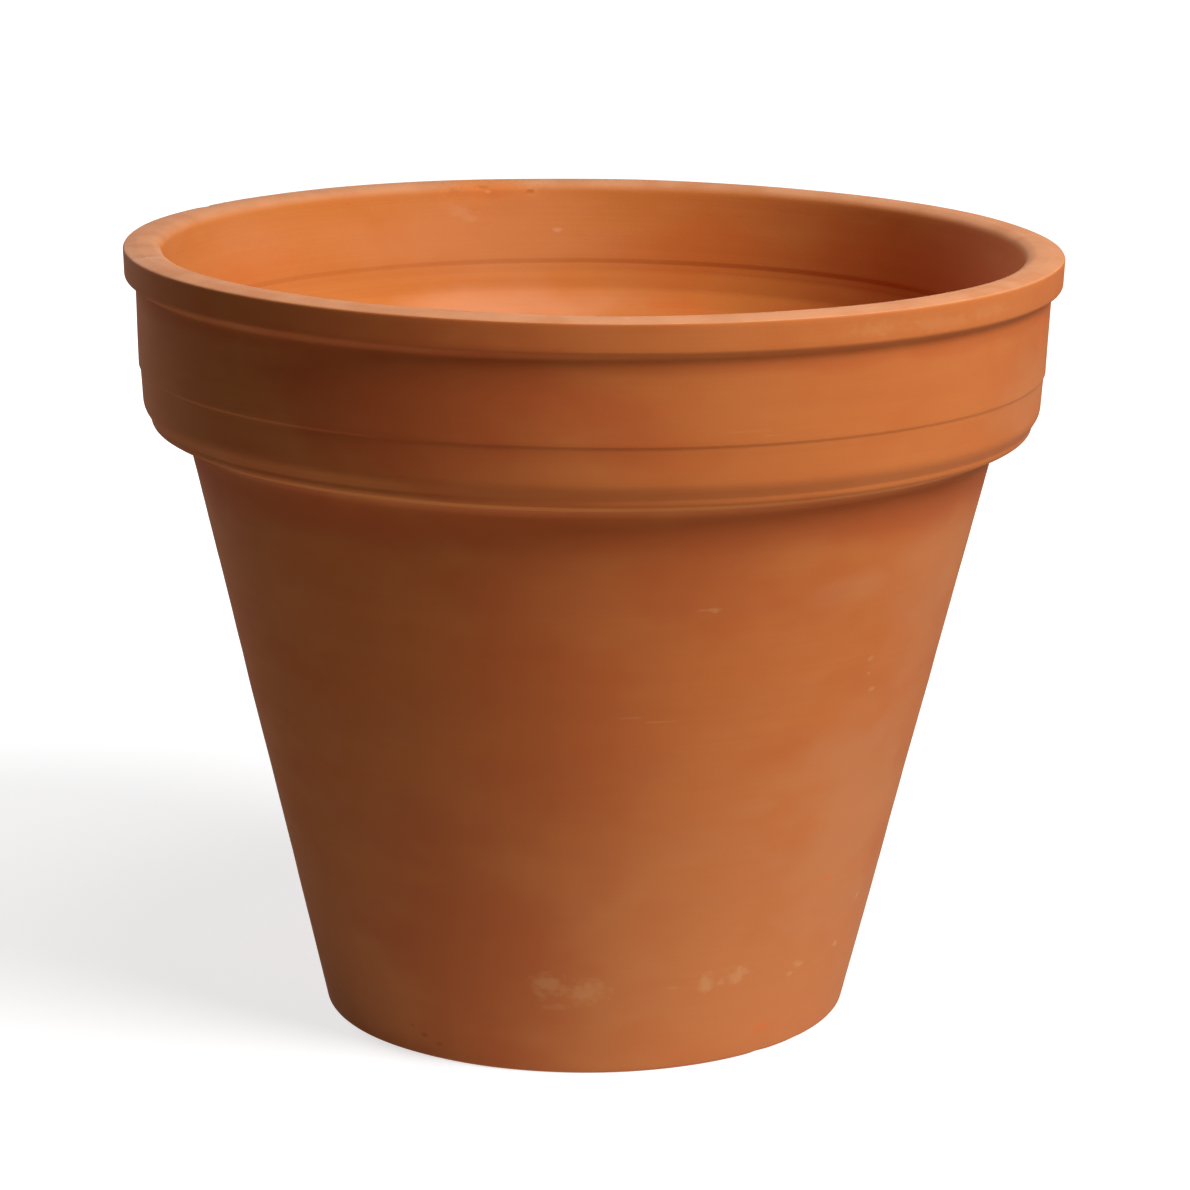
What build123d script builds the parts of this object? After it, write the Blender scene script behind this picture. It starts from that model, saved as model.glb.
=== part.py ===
from build123d import *
import os

# A round clay flower pot, in millimetres. +Z is up, the pot stands on z = 0 and its axis is the Z axis.

# Driving dimensions
rim_radius = 135.0        # half the width over the lip
pot_height = 225.5
foot_radius = 76.7        # where the body's slope would meet the ground
neck_radius = 117.0       # where the body runs in under the collar
neck_height = 170.3
wall = 10.5               # thickness of the body, square to its slope
rim_thickness = 11.2      # lip to mouth, across the top
floor_height = 12.0       # top of the floor at the drain hole
drain_radius = 14.0

# Lip: the thickened top edge. Its top is a flat ring that falls away a little on both sides.
lip_depth = 8.8           # from the top down to the lower edge of the lip's side
lip_taper = 0.3           # how much narrower the lip is at its lower edge
lip_underside = 2.0       # height of the slope that runs in from the lip to the collar
lip_rounding = 1.3
crown_radius = 131.0      # outer edge of the flat ring
crown_inner_radius = 126.6
crown_rounding = 3.0
rim_fall = 0.8            # the top's outer edge is this much below the flat ring
mouth_fall = 1.4          # and the mouth's edge this much
rim_edge_rounding = 0.8
mouth_rounding = 2.5

# Collar: the deep band under the lip, with a fine line cut round it
collar_top_radius = 131.6
collar_radius = 130.8     # just above the line
line_height = 190.5
line_depth = 0.45
line_width = 1.6
line_rounding = 0.3
band_radius = 130.3       # just below the line
band_end_radius = 129.6
band_end_height = 180.3
band_rounding = 6.0

# Bead: the small roll that ends the collar
bead_top_radius = 127.5
bead_top = 176.3
bead_top_rounding = 0.8
bead_radius = 127.3
bead_bottom = 174.4
bead_rounding = 2.0
neck_rounding = 3.0

# Inside: a tool line, and the shoulder where the mouth narrows to the body
mouth_taper = 2.8         # how much the mouth narrows from the rim down to the tool line
tool_line_height = 200.1
tool_line_depth = 0.3
tool_line_half_width = 1.0
shoulder_top_radius = 120.5
shoulder_top = 191.7
shoulder_bottom = 172.0
shoulder_rounding = 22.0
cavity_rounding = 18.0

# Foot: a flat ring round a shallow hollow, and the floor above it
foot_hollow_radius = 57.0
foot_hollow_depth = 2.0
foot_hollow_rounding = 1.5
foot_ring_rounding = 0.8
foot_rounding = 1.4
floor_fall = 1.5          # the floor drops this much from the wall to the drain hole
floor_rounding = 12.0
hole_rounding = 1.0

body_slope = (neck_radius - foot_radius) / neck_height
wall_across = wall * (1 + body_slope**2) ** 0.5    # the body's thickness measured level


def cavity_radius(height):
    """Inside radius of the tapered body at a height."""
    return foot_radius + body_slope * height - wall_across


# The pot's section, as corners from the underside, up the outside, over the rim and down the inside.
# Each corner is (radius, height) and the radius that rounds it.
lip_bottom = pot_height - lip_depth
mouth_radius = rim_radius - rim_thickness
mouth_bottom = mouth_radius - mouth_taper

foot_corners = [
    ((drain_radius, foot_hollow_depth), hole_rounding),
    ((foot_hollow_radius - foot_hollow_depth, foot_hollow_depth), foot_hollow_rounding),
    ((foot_hollow_radius, 0), foot_ring_rounding),
    ((foot_radius, 0), foot_rounding),
]
collar_corners = [
    ((neck_radius, neck_height), neck_rounding),
    ((bead_radius, bead_bottom), bead_rounding),
    ((bead_top_radius, bead_top), bead_top_rounding),
    ((band_end_radius, band_end_height), band_rounding),
    ((band_radius, line_height - line_width / 2), line_rounding),
    ((collar_radius - line_depth, line_height), line_rounding),
    ((collar_radius, line_height + line_width / 2), line_rounding),
    ((collar_top_radius, lip_bottom - lip_underside), lip_rounding),
]
rim_corners = [
    ((rim_radius - lip_taper, lip_bottom), lip_rounding),
    ((rim_radius, pot_height - rim_fall), rim_edge_rounding),
    ((crown_radius, pot_height), crown_rounding),
    ((crown_inner_radius, pot_height), crown_rounding),
    ((mouth_radius, pot_height - mouth_fall), mouth_rounding),
]
inside_corners = [
    ((mouth_bottom, tool_line_height + tool_line_half_width), line_rounding),
    ((mouth_bottom + tool_line_depth, tool_line_height), line_rounding),
    ((mouth_bottom - tool_line_depth, tool_line_height - tool_line_half_width), line_rounding),
    ((shoulder_top_radius, shoulder_top), shoulder_rounding),
    ((cavity_radius(shoulder_bottom), shoulder_bottom), cavity_rounding),
    ((cavity_radius(floor_height), floor_height + floor_fall), floor_rounding),
    ((drain_radius, floor_height), hole_rounding),
]
section_corners = foot_corners + collar_corners + rim_corners + inside_corners
section_points = [point for point, _ in section_corners]
corner_radii = [radius for _, radius in section_corners]

# The section never reaches the axis, so turning it leaves the drain hole open.
with BuildPart() as pot:
    with BuildSketch(Plane.XZ) as section:
        with BuildLine() as outline:
            FilletPolyline(*section_points, radius=corner_radii, close=True)
        make_face()
    revolve(axis=Axis.Z)

os.makedirs("parts", exist_ok=True)
pot.part.label = "pot"
export_step(pot.part, "parts/pot.step")
print(f"pot: {pot.part.volume / 1000:.0f} cubic centimetres, size {pot.part.bounding_box().size}")
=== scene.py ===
import bpy
from math import cos, degrees, hypot, pi, radians, sin, tan
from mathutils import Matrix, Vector


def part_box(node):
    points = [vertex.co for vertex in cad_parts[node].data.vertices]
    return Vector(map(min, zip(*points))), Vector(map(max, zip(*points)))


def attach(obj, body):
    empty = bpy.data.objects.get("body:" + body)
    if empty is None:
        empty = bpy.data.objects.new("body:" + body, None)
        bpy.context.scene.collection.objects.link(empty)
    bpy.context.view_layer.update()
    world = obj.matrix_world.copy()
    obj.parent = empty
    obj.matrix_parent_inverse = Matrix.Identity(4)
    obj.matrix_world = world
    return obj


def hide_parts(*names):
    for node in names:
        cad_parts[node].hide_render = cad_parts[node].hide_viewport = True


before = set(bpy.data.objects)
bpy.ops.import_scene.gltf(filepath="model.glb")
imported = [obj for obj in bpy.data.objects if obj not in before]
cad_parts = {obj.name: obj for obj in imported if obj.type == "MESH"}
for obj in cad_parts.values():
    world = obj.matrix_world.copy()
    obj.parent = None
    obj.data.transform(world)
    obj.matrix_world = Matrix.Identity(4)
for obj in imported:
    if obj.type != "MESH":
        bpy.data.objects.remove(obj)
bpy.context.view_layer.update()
potLow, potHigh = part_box("pot")
potHeight = potHigh.z - potLow.z
rimRadius = 0.135    # half the width over the lip
mm = 0.001
touching = 0.01 * mm    # points nearer than this are one point
print("frame loaded: pot", round((potHigh.x - potLow.x) / mm), "mm across,", round(potHeight / mm), "mm high")

bpy.context.scene.view_settings.view_transform = "Standard"
bpy.context.scene.view_settings.look = "None"

# Everything about the pot's shape, in millimetres and degrees. "Down" is measured from the top of the rim,
# "up" from the ground. Each rounding belongs to the corner named before it.
potShape = {
    "rimThick": 11.2, "rimFall": 0.8, "rimEdge": 0.8,                        # the top falls away to both sides
    "crownRadius": 131.0, "crownInner": 126.6, "crownRounding": 3.0,
    "mouthFall": 1.4, "mouthRounding": 2.5,
    "lipDown": 9.0, "lipTaper": 0.3, "lipUnder": 1.9, "lipRounding": 1.3,
    "collarTop": 131.6, "collarRadius": 130.8,
    "lineDown": 35.0, "lineDeep": 0.45, "lineWide": 1.6, "lineEdge": 0.3,    # the fine line round the collar
    "bandRadius": 130.3, "bandEnd": 129.6, "bandDown": 45.7, "bandRounding": 4.5,
    "beadTopRadius": 127.5, "beadTopDown": 49.2, "beadTopRounding": 0.8,
    "beadRadius": 127.3, "beadDown": 51.1, "beadRounding": 2.0,
    "neckRadius": 117.0, "neckUp": 170.3, "neckRounding": 3.0,
    "footRadius": 76.7, "footRounding": 1.4, "footRing": 57.0, "footHollow": 2.0, "footHollowRounding": 1.5,
    "footRingRounding": 0.8, "holeRadius": 14.0, "holeRounding": 1.0,
    "wallThick": 10.5, "floorThick": 12.0, "floorFall": 1.5, "floorRounding": 12.0,
    "mouthTaper": 2.8, "toolLineUp": 200.1, "toolLineDeep": 0.12, "toolLineHalf": 1.5,
    "shoulderRadius": 120.5, "shoulderUp": 191.7, "shoulderRounding": 22.0,
    "shoulderEndUp": 172.0, "shoulderEndRounding": 18.0,
    "fineGap": 1.2, "coarseGap": 4.0, "fineAbove": 184.0, "coarseBelow": 0.5,    # how far apart points are
    "turnPerCut": 14.0, "turns": 240, "lean": 0.7,
    "innerClayDown": 0.95, "footClayUp": 2.6, "footClayReach": 75.0,             # where the clays meet
}
bodySlope = (potShape["neckRadius"] - potShape["footRadius"]) / potShape["neckUp"]


def clearSelection():
    if bpy.context.object and bpy.context.object.mode != "OBJECT":
        bpy.ops.object.mode_set(mode="OBJECT")
    bpy.ops.object.select_all(action="DESELECT")


# Selects the points, edges or faces of a piece that pass a test on their middle, and stays in edit mode.
def pick(thing, kind, test):
    bpy.ops.object.mode_set(mode="EDIT")
    bpy.ops.mesh.select_mode(type=kind)
    bpy.ops.mesh.select_all(action="DESELECT")
    bpy.ops.object.mode_set(mode="OBJECT")
    points = thing.data.vertices
    if kind == "VERT":
        for point in points:
            point.select = test(point.co)
    elif kind == "EDGE":
        for edge in thing.data.edges:
            edge.select = test((points[edge.vertices[0]].co + points[edge.vertices[1]].co) / 2)
    else:
        for face in thing.data.polygons:
            face.select = test(face.center)
    bpy.ops.object.mode_set(mode="EDIT")


# The wall's section as (radius, height, rounding), from the hole's lower edge round the outside to the floor.
def sectionCorners(shape):
    top = potHeight / mm
    rim = rimRadius / mm
    lipLow = top - shape["lipDown"]
    mouth = rim - shape["rimThick"]
    mouthLow = mouth - shape["mouthTaper"]
    lineUp = top - shape["lineDown"]
    toolUp, toolDeep, toolHalf = shape["toolLineUp"], shape["toolLineDeep"], shape["toolLineHalf"]

    def inside(height):
        return shape["footRadius"] + bodySlope * height - shape["wallThick"] * hypot(1, bodySlope)

    foot = [
        (shape["holeRadius"], shape["footHollow"], shape["holeRounding"]),
        (shape["footRing"] - shape["footHollow"], shape["footHollow"], shape["footHollowRounding"]),
        (shape["footRing"], 0, shape["footRingRounding"]),
        (shape["footRadius"], 0, shape["footRounding"]),
    ]
    collar = [
        (shape["neckRadius"], shape["neckUp"], shape["neckRounding"]),
        (shape["beadRadius"], top - shape["beadDown"], shape["beadRounding"]),
        (shape["beadTopRadius"], top - shape["beadTopDown"], shape["beadTopRounding"]),
        (shape["bandEnd"], top - shape["bandDown"], shape["bandRounding"]),
        (shape["bandRadius"], lineUp - shape["lineWide"] / 2, shape["lineEdge"]),
        (shape["collarRadius"] - shape["lineDeep"], lineUp, shape["lineEdge"]),
        (shape["collarRadius"], lineUp + shape["lineWide"] / 2, shape["lineEdge"]),
        (shape["collarTop"], lipLow - shape["lipUnder"], shape["lipRounding"]),
    ]
    lip = [
        (rim - shape["lipTaper"], lipLow, shape["lipRounding"]),
        (rim, top - shape["rimFall"], shape["rimEdge"]),
        (shape["crownRadius"], top, shape["crownRounding"]),
        (shape["crownInner"], top, shape["crownRounding"]),
        (mouth, top - shape["mouthFall"], shape["mouthRounding"]),
    ]
    hollow = [
        (mouthLow, toolUp + toolHalf, shape["lineEdge"]),
        (mouthLow + toolDeep, toolUp, shape["lineEdge"]),
        (mouthLow - toolDeep, toolUp - toolHalf, shape["lineEdge"]),
        (shape["shoulderRadius"], shape["shoulderUp"], shape["shoulderRounding"]),
        (inside(shape["shoulderEndUp"]), shape["shoulderEndUp"], shape["shoulderEndRounding"]),
        (inside(shape["floorThick"]), shape["floorThick"] + shape["floorFall"], shape["floorRounding"]),
        (shape["holeRadius"], shape["floorThick"], shape["holeRounding"]),
    ]
    return foot + collar + lip + hollow


# Draws the section point by point in the XZ plane, closes it and rounds its corners.
def drawSection(corners, turnPerCut):
    clearSelection()
    places = [Vector((radius * mm, 0, height * mm)) for radius, height, rounding in corners]
    bpy.ops.mesh.primitive_plane_add(size=2 * mm, location=places[0])
    section = bpy.context.object
    bpy.ops.object.transform_apply(location=True, rotation=False, scale=False)
    bpy.ops.object.mode_set(mode="EDIT")
    bpy.ops.mesh.merge(type="CENTER")
    for before, after in zip(places, places[1:]):
        bpy.ops.mesh.extrude_region_move(TRANSFORM_OT_translate={"value": after - before})
    first, last = places[0], places[-1]
    pick(section, "VERT", lambda co: (co - first).length < touching or (co - last).length < touching)
    bpy.ops.mesh.edge_face_add()
    for index, (radius, height, rounding) in enumerate(corners):
        place, back, on = places[index], places[index - 1], places[(index + 1) % len(corners)]
        turn = (place - back).angle(on - place)
        cuts = max(2, round(degrees(turn) / turnPerCut))
        pick(section, "VERT", lambda co: (co - place).length < touching)
        bpy.ops.mesh.bevel(offset=rounding * mm * tan(turn / 2), segments=cuts, affect="VERTICES",
                           clamp_overlap=False)
    return section


# The gap between points is fine where the wall is seen close up, and wider deep inside and underneath.
def gapAt(place, shape):
    middle = shape["footRadius"] + bodySlope * place.z / mm - shape["wallThick"] / 2
    outside = place.x / mm > middle and place.z / mm > shape["coarseBelow"]
    return (shape["fineGap"] if outside or place.z / mm > shape["fineAbove"] else shape["coarseGap"]) * mm


def evenOut(section, shape):
    bpy.ops.object.mode_set(mode="OBJECT")
    points = section.data.vertices
    middles = {}
    for edge in section.data.edges:
        a, b = (points[i].co for i in edge.vertices)
        cuts = int((a - b).length / gapAt((a + b) / 2, shape))
        if cuts:
            middles.setdefault(cuts, []).append((a + b) / 2)
    for cuts, places in middles.items():
        pick(section, "EDGE", lambda co: any((co - place).length < touching for place in places))
        bpy.ops.mesh.subdivide(number_cuts=cuts)


def turnOnWheel(section, turns):
    bpy.ops.object.mode_set(mode="EDIT")
    bpy.ops.mesh.select_all(action="SELECT")
    bpy.ops.mesh.spin(steps=turns, angle=2 * pi, center=(0, 0, 0), axis=(0, 0, 1))
    bpy.ops.mesh.select_all(action="SELECT")
    bpy.ops.mesh.remove_doubles(threshold=2 * touching)
    bpy.ops.mesh.normals_make_consistent(inside=False)
    bpy.ops.object.mode_set(mode="OBJECT")


# The wheel's marks: (grain across in mm, grain up in mm, height of the marks in mm). The grain starts off centre.
grainStart = (0.31, 0.17, 0.05)
wheelMarks = {
    "fineRipple": (90, 2.2, 0.035),
    "broadRipple": (260, 11.0, 0.14),
    "softLumps": (70, 60.0, 0.5),
}


def pressWheelMarks(pot):
    for name, (across, up, deep) in wheelMarks.items():
        clearSelection()
        bpy.ops.object.empty_add(location=grainStart)
        grain = bpy.context.object
        grain.scale = (across * mm, across * mm, up * mm)
        clearSelection()
        pot.select_set(True)
        bpy.context.view_layer.objects.active = pot
        bpy.context.view_layer.update()
        texture = bpy.data.textures.new(name, "CLOUDS")
        texture.noise_scale = 1.0
        texture.noise_depth = 1
        ripple = pot.modifiers.new(name, "DISPLACE")
        ripple.texture = texture
        ripple.texture_coords = "OBJECT"
        ripple.texture_coords_object = grain
        ripple.strength = deep * mm
        ripple.mid_level = 0.5
        bpy.ops.object.modifier_apply(modifier=name)
        bpy.data.objects.remove(grain)


# Finger dents, nicks and chips: (angle, radius, height) of the middle, (out, up) push and reach, in mm. The
# core is the part of the reach that moves by the whole push.
dentCore = 0.35
dents = {
    "fingerLeft": ((111.0, 124.2, 223.6), (0.35, -0.30), 5.0),
    "fingerMiddle": ((106.2, 124.2, 223.6), (0.55, -0.45), 5.5),
    "fingerRight": ((101.8, 124.2, 223.6), (0.40, -0.30), 4.5),
    "rimNick": ((99.2, 124.4, 223.4), (0.60, -0.80), 2.6),
    "leftRimKnock": ((-177.0, 124.6, 224.8), (0.30, -0.40), 6.0),
    "lipKnock": ((-55.5, 134.6, 220.5), (-0.25, 0.0), 4.0),
    "footChipFront": ((-49.0, 77.6, 2.0), (-0.30, 0.15), 4.0),
    "footChipRight": ((-37.5, 77.8, 3.0), (-0.30, 0.10), 4.5),
    "footChipLeft": ((-126.0, 77.6, 2.5), (-0.35, 0.10), 3.0),
    "footChipBack": ((63.0, 77.6, 2.0), (-0.80, 0.40), 5.0),
    "lipNickBack": ((152.0, 134.8, 224.4), (-0.45, -0.45), 4.0),
}


def pressDents(pot):
    clearSelection()
    pot.select_set(True)
    bpy.context.view_layer.objects.active = pot
    for (angle, radius, height), (out, up), reach in dents.values():
        around = Vector((cos(radians(angle)), sin(radians(angle)), 0))
        middle = around * radius * mm + Vector((0, 0, height * mm))
        pick(pot, "VERT", lambda co: (co - middle).length < dentCore * reach * mm)
        push = around * out * mm + Vector((0, 0, up * mm))
        bpy.ops.transform.translate(value=push, use_proportional_edit=True, proportional_edit_falloff="SMOOTH",
                                    proportional_size=reach * mm)
    bpy.ops.object.mode_set(mode="OBJECT")


# Leans the wall a little to one side, as a pot settles in the kiln, and leaves the foot flat on the ground.
def leanOver(pot, lean):
    for vertex in pot.data.vertices:
        x, y, z = vertex.co
        vertex.co = (x + lean * z, y, z - lean * x * z / potHeight)


def makePot(shape):
    pot = drawSection(sectionCorners(shape), shape["turnPerCut"])
    pot.name = pot.data.name = "clayPot"
    evenOut(pot, shape)
    print("section has", len(pot.data.vertices), "points")
    turnOnWheel(pot, shape["turns"])
    print("pot turned:", len(pot.data.polygons), "faces")
    return pot


# Each group below is built once and placed in every clay with that clay's own values.
def newGroup(name, inputs, outputs):
    group = bpy.data.node_groups.new(name, "ShaderNodeTree")
    for label, kind in inputs:
        group.interface.new_socket(name=label, in_out="INPUT", socket_type="NodeSocket" + kind)
    for label, kind in outputs:
        group.interface.new_socket(name=label, in_out="OUTPUT", socket_type="NodeSocket" + kind)
    return group


def calc(tree, operation, *values):
    node = tree.nodes.new("ShaderNodeMath")
    node.operation = operation
    for index, value in enumerate(values):
        if isinstance(value, (int, float)):
            node.inputs[index].default_value = value
        else:
            tree.links.new(value, node.inputs[index])
    return node.outputs["Value"]


# Spreads a value from low..high over 0..1, with soft ends.
def spread(tree, value, low, high):
    node = tree.nodes.new("ShaderNodeMapRange")
    node.interpolation_type = "SMOOTHSTEP"
    node.inputs["From Min"].default_value = low
    node.inputs["From Max"].default_value = high
    tree.links.new(value, node.inputs["Value"])
    return node.outputs["Result"]


# A Mix node has sockets of one name for numbers, vectors and colours. This finds the one for colours.
def colorSocket(sockets, name):
    return next(socket for socket in sockets if socket.name == name and socket.type == "RGBA")


def blend(tree, factor, first, second):
    node = tree.nodes.new("ShaderNodeMix")
    node.data_type = "RGBA"
    tree.links.new(factor, node.inputs["Factor"])
    for value, name in ((first, "A"), (second, "B")):
        socket = colorSocket(node.inputs, name)
        if isinstance(value, tuple):
            socket.default_value = (*value, 1)
        else:
            tree.links.new(value, socket)
    return colorSocket(node.outputs, "Result")


# A noise whose grain is so many millimetres across and up.
def noise(tree, place, across, up, detail=2.0):
    scale = tree.nodes.new("ShaderNodeVectorMath")
    scale.operation = "MULTIPLY"
    scale.inputs[1].default_value = (1 / (across * mm), 1 / (across * mm), 1 / (up * mm))
    tree.links.new(place, scale.inputs[0])
    grain = tree.nodes.new("ShaderNodeTexNoise")
    grain.inputs["Scale"].default_value = 1.0
    grain.inputs["Detail"].default_value = detail
    tree.links.new(scale.outputs["Vector"], grain.inputs["Vector"])
    return grain.outputs["Fac"]


# Where a point is on the upright pot, with the lean taken out. Spot is its angle in degrees and height in mm.
def buildPlaceOnPot(lean):
    outputs = [("Place", "Vector"), ("Spot", "Vector"), ("Height", "Float")]
    group = newGroup("placeOnPot", [], outputs)
    end = group.nodes.new("NodeGroupOutput")
    where = group.nodes.new("ShaderNodeTexCoord")
    split = group.nodes.new("ShaderNodeSeparateXYZ")
    group.links.new(where.outputs["Object"], split.inputs["Vector"])
    x, y, z = (split.outputs[axis] for axis in "XYZ")
    level = calc(group, "MULTIPLY_ADD", z, -lean, x)
    height = calc(group, "MULTIPLY_ADD", calc(group, "MULTIPLY", x, z), lean / potHeight, z)
    place = group.nodes.new("ShaderNodeCombineXYZ")
    for value, axis in ((level, "X"), (y, "Y"), (height, "Z")):
        group.links.new(value, place.inputs[axis])
    spot = group.nodes.new("ShaderNodeCombineXYZ")
    group.links.new(calc(group, "DEGREES", calc(group, "ARCTAN2", y, level)), spot.inputs["X"])
    group.links.new(calc(group, "DIVIDE", height, mm), spot.inputs["Y"])
    group.links.new(place.outputs["Vector"], end.inputs["Place"])
    group.links.new(spot.outputs["Vector"], end.inputs["Spot"])
    group.links.new(height, end.inputs["Height"])
    return group


# Fine level lines left by the wheel and the sponge, the clay's cloudy colour, and its sandy grain. A noise is
# (grain across in mm, grain up in mm, detail), and its range is the part that is spread over 0..1.
clayPattern = {
    "fineLines": (70, 0.9, 3.0), "wideLines": (150, 4.5, 2.0), "fineShare": 0.55, "lineRange": (0.3, 0.7),
    "clouds": (60, 34, 3.0), "cloudRange": (0.32, 0.70),
    "blush": (26, 15, 2.0), "blushRange": (0.46, 0.72),
    "grain": (0.9, 0.9, 3.0),
}


def buildClayBody(pattern):
    outputs = [("Lines", "Float"), ("Clouds", "Float"), ("Blush", "Float"), ("Grain", "Float")]
    group = newGroup("clayBody", [("Place", "Vector")], outputs)
    start, end = group.nodes.new("NodeGroupInput"), group.nodes.new("NodeGroupOutput")
    place = start.outputs["Place"]
    fine = calc(group, "MULTIPLY", noise(group, place, *pattern["fineLines"]), pattern["fineShare"])
    wide = calc(group, "MULTIPLY", noise(group, place, *pattern["wideLines"]), 1 - pattern["fineShare"])
    lines = spread(group, calc(group, "ADD", fine, wide), *pattern["lineRange"])
    clouds = spread(group, noise(group, place, *pattern["clouds"]), *pattern["cloudRange"])
    blush = spread(group, noise(group, place, *pattern["blush"]), *pattern["blushRange"])
    grain = noise(group, place, *pattern["grain"])
    for value, name in ((lines, "Lines"), (clouds, "Clouds"), (blush, "Blush"), (grain, "Grain")):
        group.links.new(value, end.inputs[name])
    return group


# One mark on the wall: a soft-edged patch round a spot, with a ragged outline. It fades from full at fadeFrom
# to nothing at fadeTo, as parts of its reach.
fadeFrom, fadeTo = 0.2, 1.2


def buildSmudge():
    inputs = [("Spot", "Vector"), ("Ragged", "Float"), ("Middle", "Vector"), ("Reach", "Vector"),
              ("Raggedness", "Float"), ("Strength", "Float")]
    group = newGroup("smudge", inputs, [("Mask", "Float")])
    start, end = group.nodes.new("NodeGroupInput"), group.nodes.new("NodeGroupOutput")
    last = start.outputs["Spot"]
    for operation, other in (("SUBTRACT", "Middle"), ("DIVIDE", "Reach")):
        step = group.nodes.new("ShaderNodeVectorMath")
        step.operation = operation
        group.links.new(last, step.inputs[0])
        group.links.new(start.outputs[other], step.inputs[1])
        last = step.outputs["Vector"]
    away = group.nodes.new("ShaderNodeVectorMath")
    away.operation = "LENGTH"
    group.links.new(last, away.inputs[0])
    ragged = calc(group, "MULTIPLY_ADD", calc(group, "SUBTRACT", start.outputs["Ragged"], 0.5),
                  start.outputs["Raggedness"], away.outputs["Value"])
    mask = calc(group, "MULTIPLY", spread(group, ragged, fadeTo, fadeFrom), start.outputs["Strength"])
    group.links.new(mask, end.inputs["Mask"])
    return group


groups = {
    "place": buildPlaceOnPot(radians(potShape["lean"])),
    "clay": buildClayBody(clayPattern),
    "smudge": buildSmudge(),
}
print("shader groups built:", len(groups))

# Marks on the outside and the inside: (angle, height in mm, half width in degrees, half height in mm,
# strength). A half width of 400 goes all the way round.
outsideMarks = {
    "pale": [
        (-72.9, 142.0, 2.2, 0.5, 0.35), (-72.2, 141.6, 0.8, 1.0, 0.35), (-83.5, 110.9, 3.2, 0.35, 0.2),
        (-79.2, 109.5, 2.6, 0.35, 0.2), (-42.1, 119.9, 0.8, 1.4, 0.35), (-41.8, 115.3, 0.6, 0.8, 0.4),
        (-39.8, 110.0, 1.0, 0.7, 0.35), (-97.2, 28.3, 3.4, 4.4, 0.38), (-95.9, 21.2, 3.0, 1.2, 0.2),
        (-90.1, 26.3, 5.0, 4.0, 0.34), (-65.8, 26.5, 1.8, 3.8, 0.45), (-59.1, 27.5, 2.8, 2.8, 0.45),
        (-62.6, 26.0, 1.2, 1.4, 0.3), (-42.7, 25.7, 1.8, 1.6, 0.45), (-44.8, 23.6, 1.0, 0.8, 0.35),
        (-29.8, 27.1, 1.4, 1.2, 0.5), (-24.4, 40.1, 1.0, 1.0, 0.5), (-72.9, 26.3, 1.2, 0.5, 0.35),
        (-56.8, 220.5, 5.0, 2.4, 0.16), (-47.0, 219.6, 6.0, 2.6, 0.15), (-38.0, 220.4, 5.0, 2.2, 0.16),
        (-71.9, 194.8, 3.0, 0.3, 0.18), (-69.0, 193.4, 2.0, 0.25, 0.18), (140.0, 96.0, 9.0, 7.0, 0.3),
        (38.0, 60.0, 7.0, 5.0, 0.3), (88.0, 150.0, 4.0, 1.0, 0.3), (170.0, 30.0, 6.0, 5.0, 0.3),
    ],
    # Bloom marks are partly pale mottling and partly painted light. The band all round the lower wall is painted
    # light thrown up from the floor, and the large pale patches low on the front-right are a painted reflection
    # of the white room.
    "bloomAndPaintedLight": [
        (0.0, 20.0, 400.0, 90.0, 0.30), (-61.0, 80.1, 9.0, 6.0, 0.3), (-50.2, 143.6, 9.0, 5.0, 0.3),
        (-26.0, 135.0, 16.0, 34.0, 0.36),
        (-38.0, 62.0, 28.0, 54.0, 0.50), (-66.0, 14.0, 34.0, 26.0, 0.30), (-152.0, 150.0, 20.0, 60.0, 0.20),
        (100.0, 110.0, 30.0, 30.0, 0.3), (30.0, 40.0, 30.0, 26.0, 0.3), (-20.0, 192.0, 16.0, 14.0, 0.30),
    ],
    # Red marks are partly redder clay and partly painted shade. The two bands all round, under the collar and
    # under the lip, are painted shade in those creases. The strong patches on the front-left and just under the
    # collar at the front paint the shade on the pot's dark side and below the collar.
    "redAndPaintedShade": [
        (0.0, 164.0, 400.0, 10.0, 0.55), (0.0, 212.5, 400.0, 3.5, 0.35), (-108.0, 200.0, 26.0, 30.0, 0.75),
        (-96.0, 120.0, 20.0, 90.0, 0.45), (-76.0, 152.0, 24.0, 22.0, 0.40), (-114.0, 36.0, 26.0, 60.0, 0.55),
        (72.0, 120.0, 24.0, 80.0, 0.4), (138.0, 200.0, 20.0, 26.0, 0.4),
    ],
    "orange": [
        (-49.6, 8.2, 3.4, 2.0, 0.45), (-25.9, 52.9, 1.8, 1.4, 0.35), (-39.8, 51.9, 2.0, 1.2, 0.35),
        (-17.0, 206.0, 1.6, 6.0, 0.5), (-9.0, 222.0, 3.0, 1.8, 0.5), (120.0, 12.0, 6.0, 3.0, 0.5),
    ],
    "dark": [
        (-125.6, 6.9, 1.0, 0.8, 0.5), (-122.0, 5.0, 0.8, 0.6, 0.4), (-67.8, 172.9, 3.0, 0.5, 0.5),
        (-128.5, 9.0, 0.6, 0.6, 0.4), (62.0, 5.0, 3.0, 1.5, 0.4),
    ],
}
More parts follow.
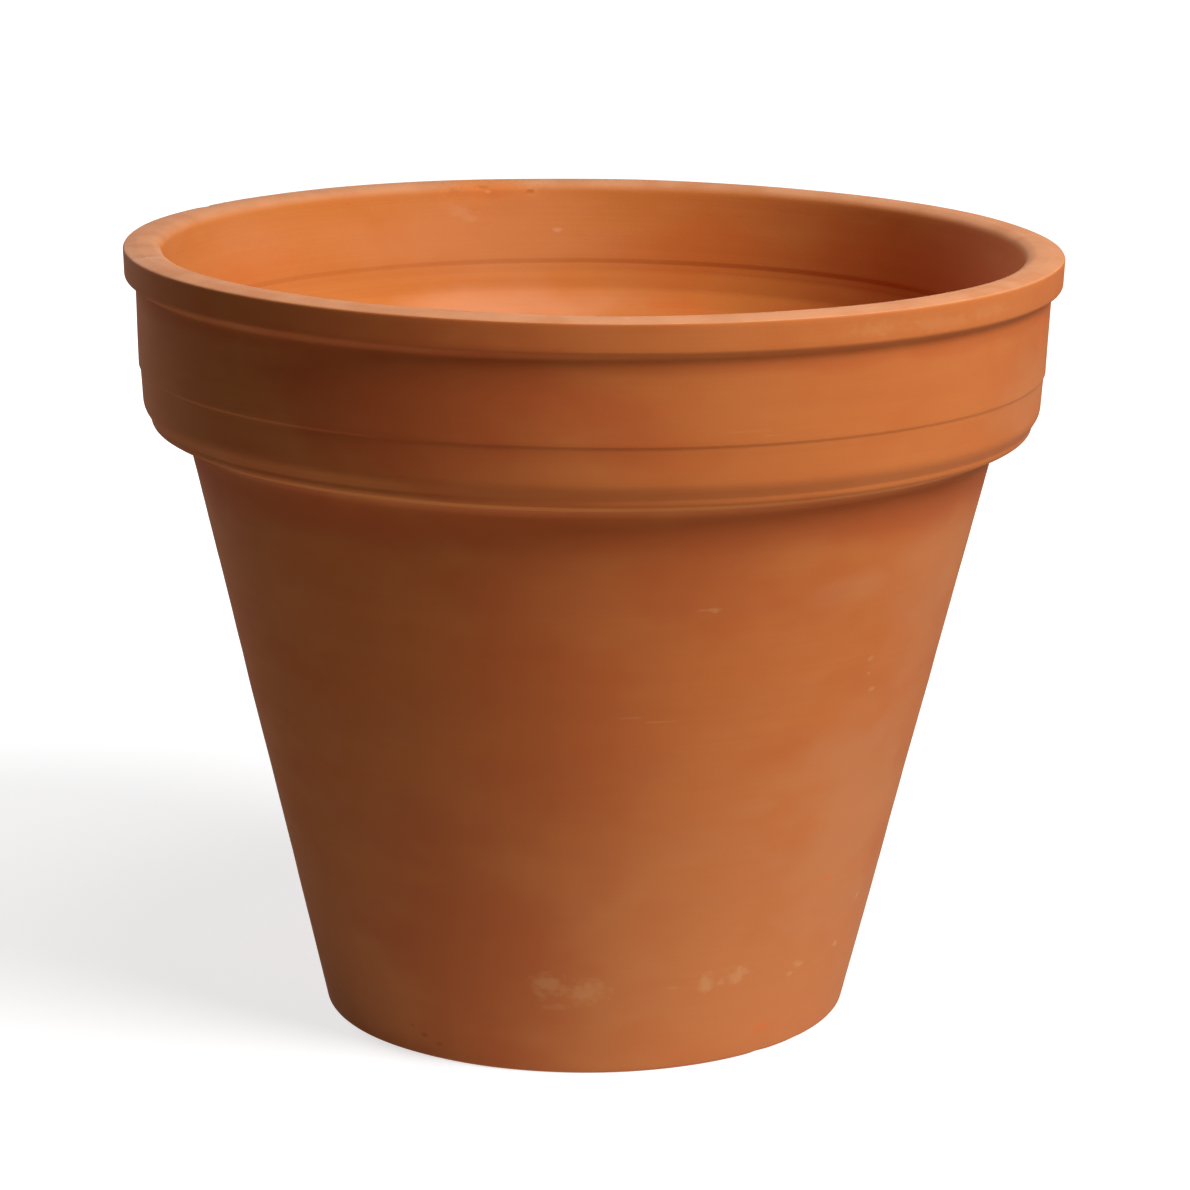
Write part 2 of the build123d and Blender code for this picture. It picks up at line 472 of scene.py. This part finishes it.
insideMarks = {
    "pale": [
        (95.4, 210.5, 1.0, 0.8, 0.35), (110.4, 217.0, 1.8, 2.6, 0.15), (108.6, 214.6, 1.8, 2.0, 0.15),
        (105.6, 222.6, 0.7, 0.6, 0.3), (-161.1, 224.6, 2.6, 1.6, 0.8), (-168.0, 224.4, 7.0, 0.9, 0.6),
    ],
    # Inside, the strongest pale patch, at the back of the shoulder, is painted light falling on its upturned
    # slope.
    "bloomAndPaintedLight": [
        (108.0, 186.0, 26.0, 9.0, 0.75), (150.0, 214.0, 16.0, 12.0, 0.15), (108.0, 208.0, 28.0, 16.0, 0.28),
        (-80.0, 190.0, 40.0, 14.0, 0.4),
    ],
    # Inside, the red patches at the back right of the wall are painted shade, where that wall is out of the
    # light.
    "redAndPaintedShade": [
        (70.0, 206.0, 18.0, 18.0, 0.45), (28.0, 205.0, 36.0, 22.0, 0.65), (-120.0, 208.0, 30.0, 14.0, 0.35),
    ],
    "orange": [
        (77.0, 187.4, 8.0, 2.4, 0.45), (55.0, 189.0, 10.0, 3.0, 0.4), (106.0, 222.8, 7.2, 2.2, 0.4),
        (150.0, 205.0, 20.0, 10.0, 0.30),
    ],
    "dark": [
        (106.2, 224.0, 1.4, 0.5, 0.4), (99.2, 222.6, 0.7, 1.0, 0.5), (110.9, 223.2, 1.0, 0.9, 0.2),
    ],
}

# The finishes. Colours are the fired clay's own, before any light falls on it, except that the red colour also
# paints shade and the bloom colour also paints light.
clays = {
    "outerClay": {
        "body": (0.450, 0.122, 0.027), "cloud": (0.470, 0.142, 0.036), "blush": (0.425, 0.100, 0.020),
        "pale": (0.53, 0.255, 0.105), "bloomAndPaintedLight": (0.47, 0.190, 0.076), "redAndPaintedShade": (0.380, 0.070, 0.016),
        "orange": (0.56, 0.120, 0.026), "dark": (0.20, 0.055, 0.018), "sand": (0.40, 0.105, 0.028),
        "cloudy": 0.75, "blushed": 0.45, "lined": 0.30, "roughness": 0.85, "specular": 0.12, "sheen": 0.02,
        "ridge": 0.22, "marks": outsideMarks, "rimDust": 0.0,
    },
    "innerClay": {
        "body": (0.530, 0.163, 0.031), "cloud": (0.545, 0.185, 0.049), "blush": (0.510, 0.140, 0.024),
        "pale": (0.68, 0.36, 0.21), "bloomAndPaintedLight": (0.62, 0.25, 0.115), "redAndPaintedShade": (0.510, 0.108, 0.018),
        "orange": (0.57, 0.135, 0.029), "dark": (0.26, 0.065, 0.017), "sand": (0.47, 0.132, 0.029),
        "cloudy": 0.70, "blushed": 0.45, "lined": 0.32, "roughness": 0.85, "specular": 0.12, "sheen": 0.02,
        "ridge": 0.25, "marks": insideMarks, "rimDust": 0.9,
    },
    "footClay": {
        "body": (0.430, 0.120, 0.034), "cloud": (0.500, 0.170, 0.065), "blush": (0.400, 0.095, 0.024),
        "bloomAndPaintedLight": (0.55, 0.24, 0.12), "sand": (0.36, 0.095, 0.026),
        "cloudy": 0.90, "blushed": 0.55, "lined": 0.15, "roughness": 0.90, "specular": 0.12, "sheen": 0.02,
        "ridge": 0.35, "marks": {"bloomAndPaintedLight": [(0.0, 0.0, 180.0, 1.2, 0.5)]}, "rimDust": 0.0,
    },
}

# What every clay shares: the kinds of mark in the order they are laid, each with its raggedness and the noise
# (grain across in mm, grain up in mm) that frays it, and the specks, sheen and relief.
markKinds = {
    "bloomAndPaintedLight": (1.4, (30, 16)), "redAndPaintedShade": (1.6, (30, 16)), "orange": (2.0, (2.6, 2.0)), "pale": (2.0, (2.6, 2.0)),
    "dark": (2.0, (2.6, 2.0)),
}
claySkin = {
    "speckRange": (0.66, 0.78), "specks": 0.35, "roughSpread": 0.08, "sheenRoughness": 0.5,
    "lineRelief": 0.5, "reliefDeep": 0.12,
}


# Puts all the marks of one kind into one mask.
def gatherMarks(tree, place, ragged, raggedness, marks):
    total = None
    for angle, height, wide, tall, strength in marks:
        mark = tree.nodes.new("ShaderNodeGroup")
        mark.node_tree = groups["smudge"]
        tree.links.new(place.outputs["Spot"], mark.inputs["Spot"])
        tree.links.new(ragged, mark.inputs["Ragged"])
        mark.inputs["Middle"].default_value = (angle, height, 0)
        mark.inputs["Reach"].default_value = (wide, tall, 1)
        mark.inputs["Raggedness"].default_value = raggedness
        mark.inputs["Strength"].default_value = strength
        total = mark.outputs["Mask"] if total is None else calc(tree, "MAXIMUM", total, mark.outputs["Mask"])
    return total


# Pale dust lies on the top of the rim and on the mouth's rounded edge, and is rubbed off by the finger marks.
dustLayer = {
    "startDown": 3.0, "fullDown": 0.4, "patches": (14, 14, 3.0), "patchRange": (0.25, 0.62), "thinnest": 0.45,
    "rubbed": (105.8, 224.0, 7.4, 4.0, 0.85), "rubbedRaggedness": 2.0,
    "thin": (0.45, 0.225, 0.135), "thick": (0.54, 0.24, 0.115),
}


def rimDust(tree, place, clay, layer):
    startsAt, fullAt = potHeight - layer["startDown"] * mm, potHeight - layer["fullDown"] * mm
    lies = spread(tree, place.outputs["Height"], startsAt, fullAt)
    patchy = spread(tree, noise(tree, place.outputs["Place"], *layer["patches"]), *layer["patchRange"])
    rubbed = gatherMarks(tree, place, clay.outputs["Grain"], layer["rubbedRaggedness"], [layer["rubbed"]])
    left = calc(tree, "MULTIPLY", lies, calc(tree, "SUBTRACT", 1.0, rubbed))
    thickness = calc(tree, "MULTIPLY_ADD", patchy, 1 - layer["thinnest"], layer["thinnest"])
    return calc(tree, "MULTIPLY", left, thickness), blend(tree, patchy, layer["thin"], layer["thick"])


def makeClay(name, recipe):
    material = bpy.data.materials.new(name)
    material.use_nodes = True
    tree = material.node_tree
    shader = tree.nodes["Principled BSDF"]
    place = tree.nodes.new("ShaderNodeGroup")
    place.node_tree = groups["place"]
    clay = tree.nodes.new("ShaderNodeGroup")
    clay.node_tree = groups["clay"]
    tree.links.new(place.outputs["Place"], clay.inputs["Place"])
    clouds = calc(tree, "MULTIPLY", clay.outputs["Clouds"], recipe["cloudy"])
    blush = calc(tree, "MULTIPLY", clay.outputs["Blush"], recipe["blushed"])
    lines = calc(tree, "MULTIPLY", clay.outputs["Lines"], recipe["lined"])
    color = blend(tree, clouds, recipe["body"], recipe["cloud"])
    color = blend(tree, blush, color, recipe["blush"])
    color = blend(tree, lines, color, recipe["sand"])
    specks = spread(tree, clay.outputs["Grain"], *claySkin["speckRange"])
    color = blend(tree, calc(tree, "MULTIPLY", specks, claySkin["specks"]), color, recipe["sand"])
    frays = {}
    for kind, (raggedness, grain) in markKinds.items():
        if kind in recipe["marks"]:
            if grain not in frays:
                frays[grain] = noise(tree, place.outputs["Place"], *grain)
            mask = gatherMarks(tree, place, frays[grain], raggedness, recipe["marks"][kind])
            color = blend(tree, mask, color, recipe[kind])
    if recipe["rimDust"]:
        dusty, dust = rimDust(tree, place, clay, dustLayer)
        color = blend(tree, calc(tree, "MULTIPLY", dusty, recipe["rimDust"]), color, dust)
    tree.links.new(color, shader.inputs["Base Color"])
    change = claySkin["roughSpread"]
    rough = calc(tree, "MULTIPLY_ADD", clay.outputs["Clouds"], change, recipe["roughness"] - change / 2)
    tree.links.new(rough, shader.inputs["Roughness"])
    shader.inputs["Specular IOR Level"].default_value = recipe["specular"]
    shader.inputs["Sheen Weight"].default_value = recipe["sheen"]
    shader.inputs["Sheen Roughness"].default_value = claySkin["sheenRoughness"]
    lineRelief = calc(tree, "MULTIPLY", clay.outputs["Lines"], claySkin["lineRelief"])
    relief = calc(tree, "ADD", lineRelief, clay.outputs["Grain"])
    bump = tree.nodes.new("ShaderNodeBump")
    bump.inputs["Strength"].default_value = recipe["ridge"]
    bump.inputs["Distance"].default_value = claySkin["reliefDeep"] * mm
    tree.links.new(relief, bump.inputs["Height"])
    tree.links.new(bump.outputs["Normal"], shader.inputs["Normal"])
    return material


# The outer clay runs up to the rim's edge, the inner from there to the drain hole, the foot's is underneath.
def layClays(pot, shape):
    for name, recipe in clays.items():
        pot.data.materials.append(makeClay(name, recipe))
    rimEdge = potHeight - shape["innerClayDown"] * mm

    def isInside(co):
        radius = hypot(co.x, co.y) / mm
        middle = shape["footRadius"] + bodySlope * co.z / mm - shape["wallThick"] / 2
        if co.z / mm > shape["shoulderEndUp"]:
            middle = shape["crownInner"]
        return co.z > rimEdge or (co.z / mm > shape["floorThick"] / 2 and radius < middle)

    def isUnderneath(co):
        radius = hypot(co.x, co.y) / mm
        return not isInside(co) and co.z / mm < shape["footClayUp"] and radius < shape["footClayReach"]

    for name, test in (("innerClay", isInside), ("footClay", isUnderneath)):
        pick(pot, "FACE", test)
        pot.active_material_index = list(clays).index(name)
        bpy.ops.object.material_slot_assign()
    bpy.ops.object.mode_set(mode="OBJECT")


pot = makePot(potShape)
layClays(pot, potShape)
pressWheelMarks(pot)
pressDents(pot)
leanOver(pot, radians(potShape["lean"]))
clearSelection()
pot.select_set(True)
bpy.ops.object.shade_smooth()
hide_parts("pot")
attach(pot, "root")
print("pot finished:", len(pot.data.polygons), "faces,", len(pot.data.materials), "clays")

# The camera's place is in rim radii, its tilt in degrees, its lens in mm. Lights are (turn round the pot in
# degrees, rise in degrees, distance, width of the disc, watts).
studio = {
    "camDistance": 9.0, "camHeight": 1.379, "camAside": 0.0225, "camDown": 13.43, "lens": 128.7, "sensor": 36.0,
    "lights": {
        "keyLight": (-35.5, 42.0, 1.6, 0.90, 33.0),
        "topLight": (-50.0, 72.0, 1.6, 0.90, 8.0),
        "backLight": (128.0, 22.0, 1.6, 0.75, 11.0),
    },
    "roomLight": 0.008, "roomTint": (1.0, 0.72, 0.66),
    "floorSize": 14.0, "floorNear": 0.30, "floorFar": 1.0, "shade": 0.68,
    "paper": 0.45, "bounce": 0.55, "bounceMiddle": (0.06, -0.11, 0), "bounceNear": 0.03, "bounceFar": 0.22,
}


def makeFloor():
    clearSelection()
    bpy.ops.mesh.primitive_plane_add(size=studio["floorSize"])
    floor = bpy.context.object
    floor.name = "paleFloor"
    white = bpy.data.materials.new("paleFloor")
    white.use_nodes = True
    tree = white.node_tree
    shader = tree.nodes["Principled BSDF"]
    shader.inputs["Base Color"].default_value = (studio["paper"], studio["paper"], studio["paper"], 1)
    shader.inputs["Roughness"].default_value = 1
    shader.inputs["Specular IOR Level"].default_value = 0
    shader.inputs["Emission Color"].default_value = (1, 1, 1, 1)
    # The paper glows where it is seen, more so away from the pot, so that it stays white to the edge.
    # In front of the pot it also throws some light back up on the lower wall.
    where = tree.nodes.new("ShaderNodeTexCoord")
    away = tree.nodes.new("ShaderNodeVectorMath")
    away.operation = "LENGTH"
    tree.links.new(where.outputs["Object"], away.inputs[0])
    beside = tree.nodes.new("ShaderNodeVectorMath")
    beside.operation = "DISTANCE"
    beside.inputs[1].default_value = studio["bounceMiddle"]
    tree.links.new(where.outputs["Object"], beside.inputs[0])
    far = spread(tree, away.outputs["Value"], studio["floorNear"], studio["floorFar"])
    glow = calc(tree, "MULTIPLY_ADD", far, 1 - studio["shade"], studio["shade"])
    near = spread(tree, beside.outputs["Value"], studio["bounceFar"], studio["bounceNear"])
    thrown = calc(tree, "MULTIPLY", near, studio["bounce"])
    seen = tree.nodes.new("ShaderNodeLightPath")
    extra = calc(tree, "SUBTRACT", glow, thrown)
    strength = calc(tree, "MULTIPLY_ADD", extra, seen.outputs["Is Camera Ray"], thrown)
    tree.links.new(strength, shader.inputs["Emission Strength"])
    floor.data.materials.append(white)


# The camera sees a white room, and the pot gets only a little warm light from it.
def makeRoom():
    room = bpy.data.worlds.new("whiteRoom")
    bpy.context.scene.world = room
    room.use_nodes = True
    tree = room.node_tree
    glow = tree.nodes["Background"]
    seen = tree.nodes.new("ShaderNodeLightPath").outputs["Is Camera Ray"]
    strength = calc(tree, "MULTIPLY_ADD", seen, 1 - studio["roomLight"], studio["roomLight"])
    tree.links.new(strength, glow.inputs["Strength"])
    tree.links.new(blend(tree, seen, studio["roomTint"], (1.0, 1.0, 1.0)), glow.inputs["Color"])


def makeLights():
    target = Vector((0, 0, potHeight / 2))
    for name, (turn, rise, away, wide, watts) in studio["lights"].items():
        clearSelection()
        turn, rise = radians(turn), radians(rise)
        toward = Vector((cos(turn) * cos(rise), sin(turn) * cos(rise), sin(rise)))
        bpy.ops.object.light_add(type="AREA", location=target + toward * away)
        light = bpy.context.object
        light.name = name
        light.rotation_euler = toward.to_track_quat("Z", "Y").to_euler()
        light.data.shape = "DISK"
        light.data.size = wide
        light.data.energy = watts


def makeCamera():
    clearSelection()
    rimEdgeHeight = potHeight - potShape["rimFall"] * mm
    bpy.ops.object.camera_add(
        location=(studio["camAside"] * rimRadius, -studio["camDistance"] * rimRadius,
                  rimEdgeHeight + studio["camHeight"] * rimRadius),
        rotation=(radians(90 - studio["camDown"]), 0, 0))
    camera = bpy.context.object
    camera.data.lens = studio["lens"]
    camera.data.sensor_width = studio["sensor"]
    bpy.context.scene.camera = camera


makeFloor()
makeRoom()
makeLights()
makeCamera()
print("floor, lights and camera ready")
